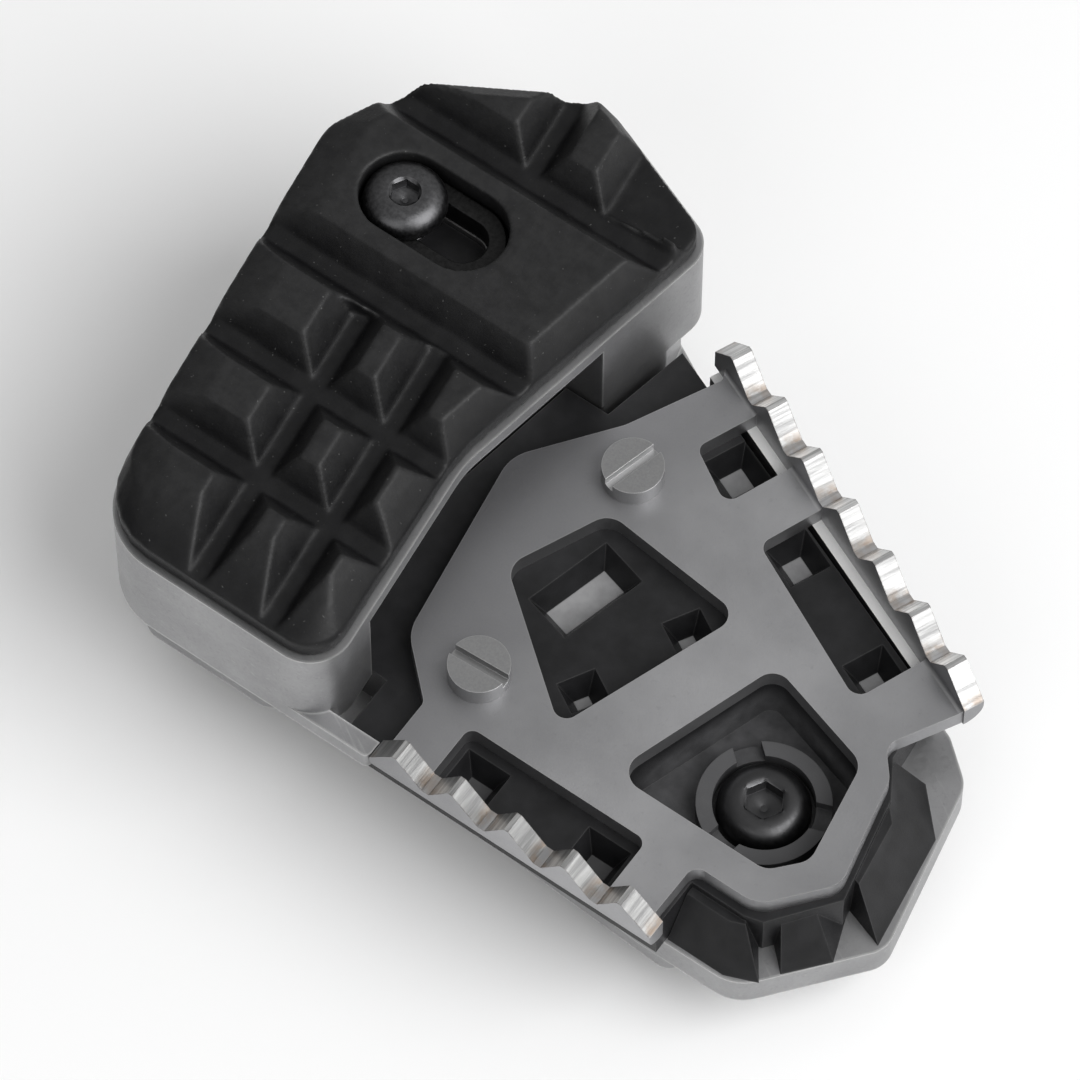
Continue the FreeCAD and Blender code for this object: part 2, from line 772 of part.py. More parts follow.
def groove_section(middle, floor, top, floor_end=None):
    """Section of a groove with sloping sides, in a plane across it."""
    half_floor = size("groove_floor") / 2
    slope = size("groove_slope")
    low = middle - half_floor
    high = middle + half_floor if floor_end is None else floor_end
    corners = [(low, floor), (high, floor), (high + slope, top), (low - slope, top)]
    return closed_lines([Vector(across, height, 0) for across, height in corners])


def head_slot_radius():
    """Half the width of the slot in the rubber, which clears the pad screw's head all round."""
    return size("pad_head_diameter") / 2 + size("hole_clearance")


def build_upper_pad():
    body = new_body("upper_pad")
    base = pad_outline()
    stages = [
        ("pad_waist", base, "Sizes.block_rise + Sizes.pad_floor"),
        ("pad_shoulder", inset_outline(base, SHOULDER_INSETS), "Sizes.block_rise + Sizes.pad_shoulder"),
        ("pad_crown", inset_outline(base, CROWN_INSETS), "Sizes.block_rise + Sizes.pad_height"),
    ]
    low_sketch = new_sketch(body, "pad_foot_outline", faceted_edges(base), DECK_TOP)
    pad(body, "pad_foot", low_sketch, "Sizes.pad_floor")
    for lower, upper in zip(stages, stages[1:]):
        lower_sketch = new_sketch(body, lower[0] + "_lower", faceted_edges(lower[1]), lower[2])
        upper_sketch = new_sketch(body, upper[0] + "_upper", faceted_edges(upper[1]), upper[2])
        ruled_loft(body, upper[0], lower_sketch, upper_sketch)

    floor = size("block_rise") + size("pad_floor")
    crown = size("block_rise") + size("pad_height")
    rows = []
    for y in ROW_GROOVES_Y:
        rows += groove_section(y, floor, crown)
    row_sketch = new_sketch(body, "row_grooves", rows, role="YZ_Plane")
    row_cut = pocket(body, "row_cuts", row_sketch, "200")
    row_cut.Midplane = True
    doc.recompute()

    lean = FreeCAD.Rotation(Vector(0, 1, 0), COLUMN_LEAN)
    columns = []
    for x in COLUMN_GROOVES_X:
        columns += groove_section(x - COLUMN_GROOVES_X[0], floor, crown)
    column_sketch = new_sketch(body, "column_grooves", columns, role="XZ_Plane")
    column_sketch.setExpression(".AttachmentOffset.Base.z", None)
    column_sketch.AttachmentOffset = FreeCAD.Placement(Vector(COLUMN_GROOVES_X[0], 0, -COLUMN_START_Y), lean)
    pocket(body, "column_cuts", column_sketch, "100", upwards=True)

    beyond = max(corner[0] for corner in BLOCK_OUTLINE) - min(corner[0] for corner in BLOCK_OUTLINE)
    flat = groove_section(APEX_FLAT_X - APEX_GROOVE_X, floor, crown, floor_end=beyond)
    apex_edges = groove_section(0, floor, crown) + flat
    apex_sketch = new_sketch(body, "apex_grooves", apex_edges, role="XZ_Plane")
    apex_sketch.setExpression(".AttachmentOffset.Base.z", None)
    apex_sketch.AttachmentOffset = FreeCAD.Placement(Vector(APEX_GROOVE_X, 0, -ROW_GROOVES_Y[0]), lean)
    pocket(body, "apex_cut", apex_sketch, "100")

    # Recess for the backing plate and the slot round the screw's head
    recess = inset_outline(base, size("backing_margin"))
    recess_sketch = new_sketch(body, "recess_outline", faceted_edges(recess), DECK_TOP)
    pocket(body, "backing_recess", recess_sketch, "Sizes.backing_thickness", upwards=True)
    slot = slot_edges(size("pad_screw_x"), size("pad_screw_y"), size("pad_travel"), head_slot_radius())
    slot_sketch = new_sketch(body, "head_slot", slot, "Sizes.block_rise + Sizes.pad_height")
    pocket(body, "head_slot_cut", slot_sketch, "Sizes.pad_height")
    return body


def build_backing_plate():
    body = new_body("pad_backing_plate")
    outline = inset_outline(pad_outline(), size("backing_margin") + size("thread_gap"))
    sketch = new_sketch(body, "backing_outline", faceted_edges(outline), DECK_TOP)
    pad(body, "backing", sketch, "Sizes.backing_thickness")

    # Raised land inside the slot in the rubber, which the screw's head clamps
    x, y, travel = size("pad_screw_x"), size("pad_screw_y"), size("pad_travel")
    land = slot_edges(x, y, travel, head_slot_radius() - size("base_gap"))
    land_sketch = new_sketch(body, "land_outline", land, "Sizes.block_rise + Sizes.backing_thickness")
    pad(body, "land", land_sketch, "Sizes.land_rise")
    slot = slot_edges(x, y, travel, size("pad_screw_diameter") / 2 + size("base_gap"))
    slot_sketch = new_sketch(body, "screw_slot", slot, LAND_TOP)
    pocket(body, "screw_slot_cut", slot_sketch, "Sizes.backing_thickness + Sizes.land_rise")
    return body


# Fasteners: each is drawn about its own axis with the underside of its head at zero


def place_at(body, x, y, level):
    """Put a fastener's own origin at a point of the tread datum's frame."""
    body.setExpression(".Placement.Base.x", "Sizes.seat_datum_x + (%s)" % x)
    body.setExpression(".Placement.Base.y", "Sizes.seat_datum_y + (%s)" % y)
    body.setExpression(".Placement.Base.z", "%s - (%s)" % (level, SEAT_LEVEL))


def revolved(body, name, points):
    """A turned piece: the half section in the XZ plane, revolved about Z."""
    edges = closed_lines([Vector(x, z, 0) for x, z in points])
    sketch = new_sketch(body, name + "_section", edges, role="XZ_Plane")
    turned = body.newObject("PartDesign::Revolution", name)
    turned.Profile = sketch
    turned.ReferenceAxis = (sketch, ["V_Axis"])
    turned.Angle = 360
    return finished(turned)


def hexagon_edges(across_flats):
    radius = across_flats / math.sqrt(3)
    points = [
        Vector(radius * math.cos(math.radians(60 * i)), radius * math.sin(math.radians(60 * i)), 0)
        for i in range(6)
    ]
    return closed_lines(points)


def button_screw(name, diameter, head_diameter, head_height, hexagon, length):
    """Button-head screw with a hexagon socket."""
    body = new_body(name, at_datum=False)
    shank = diameter / 2
    head = head_diameter / 2
    points = [
        (0, -length),
        (shank, -length),
        (shank, 0),
        (head, 0),
        (head, 0.25 * head_height),
        (0.62 * head, head_height),
        (0, head_height),
    ]
    revolved(body, "turned", points)
    socket = new_sketch(body, "socket_hexagon", hexagon_edges(hexagon), str(head_height))
    pocket(body, "socket", socket, str(0.6 * head_height))
    return body


def cheese_screw(name, length, slot_turn):
    """Slotted cheese-head screw."""
    body = new_body(name, at_datum=False)
    shank = size("plate_screw_diameter") / 2
    head = size("plate_head_diameter") / 2
    height = size("plate_head_height")
    points = [(0, -length), (shank, -length), (shank, 0), (head, 0), (head, height), (0, height)]
    revolved(body, "turned", points)
    slot = turned_rectangle(0, 0, 2.4 * head, size("plate_slot_width"), slot_turn)
    slot_sketch = new_sketch(body, "slot_outline", rounded_edges(slot), "Sizes.plate_head_height")
    pocket(body, "slot", slot_sketch, "Sizes.plate_slot_depth")
    return body


def washer(name, bore, outside, thickness):
    body = new_body(name, at_datum=False)
    edges = circle_edges(0, 0, outside / 2) + circle_edges(0, 0, bore / 2)
    sketch = new_sketch(body, "rings", edges)
    pad(body, "washer_disc", sketch, str(thickness), downwards=True)
    return body


def nut_below(name, thread, across_flats, height):
    """Hexagon nut that hangs down from its seat."""
    body = new_body(name, at_datum=False)
    hexagon = new_sketch(body, "hexagon", hexagon_edges(across_flats))
    pad(body, "nut_hexagon", hexagon, str(height), downwards=True)
    bore = new_sketch(body, "bore_circle", circle_edges(0, 0, (thread + size("thread_gap")) / 2))
    pocket(body, "bore", bore, str(height))
    return body


# Washers and nuts go by their thread, in the usual metric proportions
WASHER_OUTSIDE = 2.1
WASHER_THICKNESS = 0.22
NUT_FLATS = 1.65
NUT_HEIGHT = 1.0


def below_seat(name, diameter, x, y, level):
    """A washer and a nut under a face, with the names of the two nodes and the height of both."""
    thickness = WASHER_THICKNESS * diameter
    height = NUT_HEIGHT * diameter
    ring = washer(name[0], diameter + size("hole_clearance"), WASHER_OUTSIDE * diameter, thickness)
    place_at(ring, x, y, level)
    nut = nut_below(name[1], diameter, NUT_FLATS * diameter, height)
    place_at(nut, x, y, "%s - %s" % (level, thickness))
    return ring, nut, thickness + height


def build_pad_fasteners():
    diameter = size("pad_screw_diameter")
    stack = below_seat(
        ("pad_nut_washer", "pad_nut"), diameter, "Sizes.pad_screw_x", "Sizes.pad_screw_y", DECK_UNDERSIDE
    )[2]
    grip = size("land_rise") + size("backing_thickness") + size("deck_thickness")
    length = grip + stack + size("thread_end")
    screw = button_screw(
        "pad_screw", diameter, size("pad_head_diameter"), size("pad_head_height"), size("pad_hex"), length
    )
    place_at(screw, "Sizes.pad_screw_x", "Sizes.pad_screw_y", LAND_TOP)


def group(name, members):
    bundle = doc.addObject("Part::Compound", name)
    bundle.Label = name
    bundle.Links = members
    return bundle


def build_plate_fasteners():
    diameter = size("plate_screw_diameter")
    screws = []
    rings = []
    nuts = []
    for number, (x, y, turn) in enumerate(PLATE_SCREWS, start=1):
        names = ("plate_washer_%d" % number, "plate_nut_%d" % number)
        ring, nut, stack = below_seat(names, diameter, x, y, CARRIER_UNDERSIDE)
        grip = size("plate_thickness") + size("base_height") + size("carrier_thickness")
        screw = cheese_screw("plate_screw_%d" % number, grip + stack + size("thread_end"), turn)
        place_at(screw, x, y, "0")
        screws.append(screw)
        rings.append(ring)
        nuts.append(nut)
    group("tread_plate_screws", screws)
    group("tread_plate_washers", rings)
    group("tread_plate_nuts", nuts)


COLLAR_NOTCHES = (20.0, 140.0, 260.0)


def build_base_fasteners():
    diameter = size("base_screw_diameter")
    x, y = "Sizes.base_screw_x", "Sizes.base_screw_y"
    floor = "%s + Sizes.bowl_floor" % CARRIER_TOP
    stack = below_seat(("base_nut_washer", "base_nut"), diameter, x, y, CARRIER_UNDERSIDE)[2]
    length = size("bowl_floor") + size("carrier_thickness") + stack + size("thread_end")
    screw = button_screw(
        "base_screw", diameter, size("base_head_diameter"), size("base_head_height"), size("base_hex"), length
    )
    place_at(screw, x, y, floor)

    # Ring round the screw's head, with three notches in its top
    collar = new_body("base_collar", at_datum=False)
    inner = size("base_head_diameter") / 2 + size("hole_clearance")
    outer = inner + size("collar_wall")
    rings = circle_edges(0, 0, outer) + circle_edges(0, 0, inner)
    ring_sketch = new_sketch(collar, "collar_rings", rings)
    pad(collar, "collar_ring", ring_sketch, "Sizes.collar_height")
    notches = []
    for turn in COLLAR_NOTCHES:
        angle = math.radians(turn)
        middle = (inner + outer) / 2
        across = size("collar_wall") + 2 * size("hole_clearance")
        corners = turned_rectangle(
            middle * math.cos(angle), middle * math.sin(angle), across, size("collar_notch"), turn
        )
        notches += rounded_edges(corners)
    notch_sketch = new_sketch(collar, "collar_notches", notches, "Sizes.collar_height")
    pocket(collar, "collar_notch_cuts", notch_sketch, "Sizes.collar_height / 2")
    place_at(collar, x, y, floor)


NODES = [
    "pedal_body",
    "upper_pad",
    "pad_backing_plate",
    "pad_screw",
    "pad_nut_washer",
    "pad_nut",
    "tread_base",
    "tread_plate",
    "tread_plate_screws",
    "tread_plate_washers",
    "tread_plate_nuts",
    "base_screw",
    "base_collar",
    "base_nut_washer",
    "base_nut",
]


def check_document():
    for item in doc.Objects:
        if "Invalid" in item.State or "Error" in item.State:
            raise RuntimeError("%s failed: %s" % (item.Label, item.State))
    for name in NODES:
        shape = doc.getObject(name).Shape
        if shape.isNull() or not shape.isValid():
            raise RuntimeError("%s has no valid shape" % name)


build_pedal_body()
build_tread_plate()
build_tread_base()
build_upper_pad()
build_backing_plate()
build_pad_fasteners()
build_plate_fasteners()
build_base_fasteners()
doc.recompute()
check_document()

os.makedirs("parts", exist_ok=True)
for name in NODES:
    shape = doc.getObject(name).Shape
    shape.exportStep("parts/%s.step" % name)
    print("%-22s solids %d volume %.1f" % (name, len(shape.Solids), shape.Volume))
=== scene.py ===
"""Looks of the brake pedal extension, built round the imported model."""

import json
import math

import bmesh
import bpy
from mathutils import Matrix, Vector

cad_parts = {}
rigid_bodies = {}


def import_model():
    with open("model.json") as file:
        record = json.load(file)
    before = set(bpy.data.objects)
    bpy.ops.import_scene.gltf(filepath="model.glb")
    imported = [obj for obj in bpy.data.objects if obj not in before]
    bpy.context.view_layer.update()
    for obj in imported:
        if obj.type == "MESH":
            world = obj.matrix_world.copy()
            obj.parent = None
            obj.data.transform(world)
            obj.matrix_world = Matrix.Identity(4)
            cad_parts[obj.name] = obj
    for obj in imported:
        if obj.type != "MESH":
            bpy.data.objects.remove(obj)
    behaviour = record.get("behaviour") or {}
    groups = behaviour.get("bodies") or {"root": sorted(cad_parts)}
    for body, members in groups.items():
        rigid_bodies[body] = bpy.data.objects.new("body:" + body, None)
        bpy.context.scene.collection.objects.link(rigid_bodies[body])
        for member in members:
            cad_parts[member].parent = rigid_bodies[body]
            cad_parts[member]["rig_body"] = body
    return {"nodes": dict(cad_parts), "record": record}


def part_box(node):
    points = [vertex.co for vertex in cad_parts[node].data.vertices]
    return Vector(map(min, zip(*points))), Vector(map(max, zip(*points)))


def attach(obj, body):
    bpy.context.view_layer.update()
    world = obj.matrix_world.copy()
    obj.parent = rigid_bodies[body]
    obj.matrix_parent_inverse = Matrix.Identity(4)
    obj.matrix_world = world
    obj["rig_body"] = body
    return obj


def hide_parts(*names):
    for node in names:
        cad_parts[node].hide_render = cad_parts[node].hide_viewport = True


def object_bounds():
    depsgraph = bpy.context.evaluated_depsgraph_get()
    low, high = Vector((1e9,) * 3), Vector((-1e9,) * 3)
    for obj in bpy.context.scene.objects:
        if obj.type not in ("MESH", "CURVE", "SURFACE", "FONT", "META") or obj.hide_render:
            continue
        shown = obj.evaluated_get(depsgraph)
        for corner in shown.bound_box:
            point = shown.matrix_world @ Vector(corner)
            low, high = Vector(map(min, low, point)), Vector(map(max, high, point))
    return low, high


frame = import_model()
cad_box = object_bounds()
nodes = frame["nodes"]
SLOT_OF = {entry["node"]: entry["material_slot"] for entry in frame["record"]["subparts"]}

MM = 0.001

# Camera: the photograph's direction, with a long lens and the object filling the frame
CAMERA_AZIMUTH = math.radians(35.7)
CAMERA_ELEVATION = math.radians(62.2)
CAMERA_DISTANCE = 0.9
CAMERA_TARGET = Vector((24.9, 9.2, 15.1)) * MM
VIEW_WIDTH = 118 * MM
SENSOR_WIDTH = 36.0
CAMERA_CLIP = (0.01, 20.0)

# Heights that the finishes follow, in mm in the shared frame
PLATE_TOP = 14.5
POCKET_FLOOR = 9.0
BASE_TOP = 12.0
PAD_GROOVE = 28.9
PAD_TOP = 32.5

# Painted sheen: the plate's top brightens between the first two places along X and dulls between the second
# two, in mm
PLATE_BRIGHTENS = (16.0, 46.0)
PLATE_DULLS = (58.0, 76.0)

# Along Y the front flange lies below the first place and the rear one above the second, in mm
FLANGE_SPLIT = (-1.0, 1.0)

# Along Y the pockets in the front window lie below the first place, the others above the second, in mm
POCKET_SPLIT = (-12.5, -9.0)

# Upright axis of the bowl in the base, and the radii between which its dust begins, in mm
BOWL_AXIS = (61.6, -0.3)
BOWL_DUST = (14.5, 12.5)

# The rear flange runs at this angle to X, seen from above
REAR_ANGLE = math.radians(23.5)

# Points closer than the first are merged, and faces that turn less than the second are joined
MERGE_DISTANCE = 0.002 * MM
FLAT_ANGLE = math.radians(1)

# Edges that turn more than the first are rounded. On turned pieces, those past the second are shaded sharp
ROUNDED_ANGLE = math.radians(28)
SHARP_ANGLE = math.radians(35)

# Rounding of the edges of each piece kept from the model: radius in mm and number of segments
EDGE_ROUNDING = {
    "pedal_body": (0.45, 3),
    "pad_backing_plate": (0.2, 2),
    "pad_nut_washer": (0.12, 2),
    "tread_base": (0.28, 3),
    "tread_plate": (0.2, 3),
    "tread_plate_screws": (0.22, 3),
    "tread_plate_washers": (0.1, 2),
    "base_collar": (0.25, 3),
    "base_nut_washer": (0.15, 2),
}

# Moulded rubber: voxel of the skin, rounds of smoothing and strength of each
PAD_VOXEL = 0.33 * MM
PAD_SMOOTHING = 1
PAD_SMOOTHING_STRENGTH = 0.5

# Turned pieces: points in a ring
RING_POINTS = 48

# Threads: steps in a turn, and depth as a share of the pitch
THREAD_STEPS = 8
THREAD_DEPTH = 0.6

# Screws with a domed head: thread radius, pitch, head height, socket flats, in mm
BUTTON_SCREWS = {
    "pad_screw": {"thread": 2.5, "pitch": 0.8, "head": 2.75, "socket": 3.0},
    "base_screw": {"thread": 3.0, "pitch": 1.0, "head": 3.3, "socket": 4.0},
}

# Domed heads: steps of the dome, then wall and socket depth as shares of the head's height
DOME_STEPS = 9
HEAD_WALL = 0.25
SOCKET_DEPTH = 0.6

# Sockets: radius of the rim, the floor and the drilled tip, as shares of the width across flats
SOCKET_RIM = 0.62
SOCKET_FLOOR = 0.42
SOCKET_TIP = 0.1

# Domed heads: broken edges, flat round the rim and depth of the drilled tip, in mm
HEAD_BREAK = 0.25
RIM_FLAT = 0.35
TIP_DEPTH = 0.35

# Black filler in the deck's slot, painted shade for the dark seen down it: travel of the pad, radius, lowest
# and highest level, gap at the screw, in mm
PAD_TRAVEL = 7.8
SLOT_SHADE_RADIUS = 2.65
SLOT_SHADE_LEVELS = (23.0, 25.6)
SLOT_SHADE_GAP = 0.05

# Nuts: thread radius and pitch, in mm
NUTS = {
    "pad_nut": {"thread": 2.5, "pitch": 0.8},
    "base_nut": {"thread": 3.0, "pitch": 1.0},
    "tread_plate_nuts": {"thread": 2.0, "pitch": 0.7},
}

# Nuts: end face as a share of the width across flats, chamfer, and play in the bore in mm
NUT_FACE = 0.94
NUT_CHAMFER = math.radians(30)
NUT_PLAY = 0.08

# Thread ends on the plate screws: how far they stand proud, taper at the end, reach into the nut, in mm
THREAD_PROUD = 0.03
END_PROUD = 0.02
END_TAPER = 0.35
END_TAPER_HEIGHT = 0.1
THREAD_IN_NUT = 0.3

# Floor: gap below the lowest point, and half its width in metres
FLOOR_GAP = 0.3 * MM
FLOOR_HALF = 3.0

# Surroundings: direction they are brightest in, range of its cosine, and strength at each end of it
SKY_DIRECTION = (0.45, 0.45, 0.77)
SKY_RANGE = (-0.45, 0.9)
SKY_STRENGTH = (0.06, 0.58)

# Lamps: place and width in metres, power in watts, and the point they all face
LAMPS = {
    "key": ((0.95, 0.1, 1.0), 1.3, 17.0),
    "fill": ((0.1, -1.2, 0.9), 1.2, 4.0),
}
LAMP_TARGET = (0.02, 0.0, 0.01)

# Worn edges: samples for each, and cosine of the turn where wear begins and where it is full
EDGE_SAMPLES = 4
EDGE_WEAR = (0.995, 0.86)

# Sockets of a Mix node that have no name of their own
MIX_NUMBERS = (2, 3)
MIX_COLOURS = (6, 7)
MIX_COLOUR_RESULT = 2


# Node helpers


def new_material(name):
    """An empty node material with its shader and output, ready to be linked."""
    material = bpy.data.materials.new(name)
    material.use_nodes = True
    tree = material.node_tree
    tree.nodes.clear()
    output = tree.nodes.new("ShaderNodeOutputMaterial")
    shader = tree.nodes.new("ShaderNodeBsdfPrincipled")
    tree.links.new(shader.outputs["BSDF"], output.inputs["Surface"])
    return material, tree, shader


def object_coordinates(tree, stretch, turn=0.0):
    """Object coordinates in millimetres, turned about Z and then stretched along each axis."""
    coordinates = tree.nodes.new("ShaderNodeTexCoord")
    turned = tree.nodes.new("ShaderNodeVectorRotate")
    turned.rotation_type = "Z_AXIS"
    turned.inputs["Angle"].default_value = turn
    tree.links.new(coordinates.outputs["Object"], turned.inputs["Vector"])
    stretched = tree.nodes.new("ShaderNodeVectorMath")
    stretched.operation = "MULTIPLY"
    stretched.inputs[1].default_value = [value / MM for value in stretch]
    tree.links.new(turned.outputs["Vector"], stretched.inputs[0])
    return stretched.outputs["Vector"]


def noise(tree, scale, detail=4.0, roughness=0.55, stretch=(1, 1, 1), turn=0.0):
    """Noise with a size given as waves in a millimetre."""
    texture = tree.nodes.new("ShaderNodeTexNoise")
    texture.inputs["Scale"].default_value = scale
    texture.inputs["Detail"].default_value = detail
    texture.inputs["Roughness"].default_value = roughness
    tree.links.new(object_coordinates(tree, stretch, turn), texture.inputs["Vector"])
    return texture.outputs["Fac"]


def place_along(tree, axis):
    """Place along X, Y or Z of the shared frame, in millimetres."""
    split = tree.nodes.new("ShaderNodeSeparateXYZ")
    tree.links.new(object_coordinates(tree, (1, 1, 1)), split.inputs["Vector"])
    return split.outputs[axis]


def distance_from_axis(tree, x, y):
    """Distance in plan from an upright axis, in millimetres."""
    distance = tree.nodes.new("ShaderNodeVectorMath")
    distance.operation = "DISTANCE"
    distance.inputs[1].default_value = (x, y, 0)
    tree.links.new(object_coordinates(tree, (1, 1, 0)), distance.inputs[0])
    return distance.outputs["Value"]


def remap(tree, value, low, high, to_low=0.0, to_high=1.0):
    """A value taken from one range to another and kept inside it."""
    node = tree.nodes.new("ShaderNodeMapRange")
    node.inputs["From Min"].default_value = low
    node.inputs["From Max"].default_value = high
    node.inputs["To Min"].default_value = to_low
    node.inputs["To Max"].default_value = to_high
    tree.links.new(value, node.inputs["Value"])
    return node.outputs["Result"]


def mix_colour(tree, factor, first, second):
    """Two colours, each a tuple or a socket, mixed by a factor socket."""
    node = tree.nodes.new("ShaderNodeMix")
    node.data_type = "RGBA"
    tree.links.new(factor, node.inputs["Factor"])
    for index, value in zip(MIX_COLOURS, (first, second)):
        if isinstance(value, tuple):
            node.inputs[index].default_value = (*value, 1)
        else:
            tree.links.new(value, node.inputs[index])
    return node.outputs[MIX_COLOUR_RESULT]


def combine(tree, operation, first, second):
    """Two values, the second a socket or a number, joined by one operation."""
    node = tree.nodes.new("ShaderNodeMath")
    node.operation = operation
    tree.links.new(first, node.inputs[0])
    if isinstance(second, float):
        node.inputs[1].default_value = second
    else:
        tree.links.new(second, node.inputs[1])
    return node.outputs["Value"]


def multiply(tree, first, *others):
    """The product of a value and others, each a socket or a number."""
    for other in others:
        first = combine(tree, "MULTIPLY", first, other)
    return first


def choose(tree, factor, first, second):
    """The first value where a factor is zero, the second where it is one."""
    node = tree.nodes.new("ShaderNodeMix")
    tree.links.new(factor, node.inputs[0])
    for index, value in zip(MIX_NUMBERS, (first, second)):
        tree.links.new(value, node.inputs[index])
    return node.outputs[0]


def band(tree, value, low, high, fade):
    """One while a value is between two limits, fading to zero outside them."""
    return multiply(tree, remap(tree, value, low - fade, low), remap(tree, value, high + fade, high))


def facing(tree, direction):
    """How far the surface faces along a direction, either way: one when square to it, zero when edge on."""
    geometry = tree.nodes.new("ShaderNodeNewGeometry")
    dot = tree.nodes.new("ShaderNodeVectorMath")
    dot.operation = "DOT_PRODUCT"
    dot.inputs[1].default_value = direction
    tree.links.new(geometry.outputs["True Normal"], dot.inputs[0])
    size = tree.nodes.new("ShaderNodeMath")
    size.operation = "ABSOLUTE"
    tree.links.new(dot.outputs["Value"], size.inputs[0])
    return size.outputs["Value"]


def edge_mask(tree, radius):
    """One along sharp edges, zero on open faces, from how much a rounded normal turns."""
    bevel = tree.nodes.new("ShaderNodeBevel")
    bevel.inputs["Radius"].default_value = radius
    bevel.samples = EDGE_SAMPLES
    geometry = tree.nodes.new("ShaderNodeNewGeometry")
    dot = tree.nodes.new("ShaderNodeVectorMath")
    dot.operation = "DOT_PRODUCT"
    tree.links.new(bevel.outputs["Normal"], dot.inputs[0])
    tree.links.new(geometry.outputs["Normal"], dot.inputs[1])
    return remap(tree, dot.outputs["Value"], *EDGE_WEAR)


def bump(tree, shader, surface, distance, strength):
    """Let a surface value raise the shader's normal by a distance in metres."""
    node = tree.nodes.new("ShaderNodeBump")
    node.inputs["Strength"].default_value = strength
    node.inputs["Distance"].default_value = distance
    tree.links.new(surface, node.inputs["Height"])
    tree.links.new(node.outputs["Normal"], shader.inputs["Normal"])


# Materials


def cast_aluminium():
    """Blasted aluminium casting: fine grain, faint clouds, lighter edges, a little grime and a painted
    highlight on the rail top.
    """
    material, tree, shader = new_material("cast_aluminium")
    clouds = remap(tree, noise(tree, 0.12, 3), 0.35, 0.65)
    colour = mix_colour(tree, clouds, (0.31, 0.31, 0.315), (0.37, 0.37, 0.375))
    grime = remap(tree, noise(tree, 1.3, 6, 0.7), 0.56, 0.78, 0.0, 0.45)
    colour = mix_colour(tree, grime, colour, (0.20, 0.20, 0.198))
    scratches = remap(tree, noise(tree, 1.1, 4, 0.6, (0.12, 1.6, 1.6), 0.5), 0.62, 0.72, 0.0, 0.35)
    colour = mix_colour(tree, scratches, colour, (0.52, 0.52, 0.52))
    colour = mix_colour(tree, edge_mask(tree, 0.5 * MM), colour, (0.66, 0.66, 0.655))

    # Only the rail under the rear flange is machined flat at the height of the plate's underside. Painted
    # highlight: its top is painted near white, and made less metallic and rougher, so that it reads as lit
    rail_level = band(tree, place_along(tree, "Z"), BASE_TOP - 0.3, BASE_TOP, 0.2)
    lit_rail_top = multiply(tree, rail_level, remap(tree, facing(tree, (0, 0, 1)), 0.6, 0.9))
    colour = mix_colour(tree, lit_rail_top, colour, (0.95, 0.95, 0.94))
    tree.links.new(remap(tree, lit_rail_top, 0.0, 1.0, 1.0, 0.25), shader.inputs["Metallic"])
    tree.links.new(colour, shader.inputs["Base Color"])
    grain = noise(tree, 2.6, 6, 0.7)
    roughness = combine(tree, "ADD", remap(tree, grain, 0.3, 0.7, 0.40, 0.54), multiply(tree, lit_rail_top, 0.25))
    tree.links.new(roughness, shader.inputs["Roughness"])
    bump(tree, shader, grain, 0.03 * MM, 0.5)
    return material


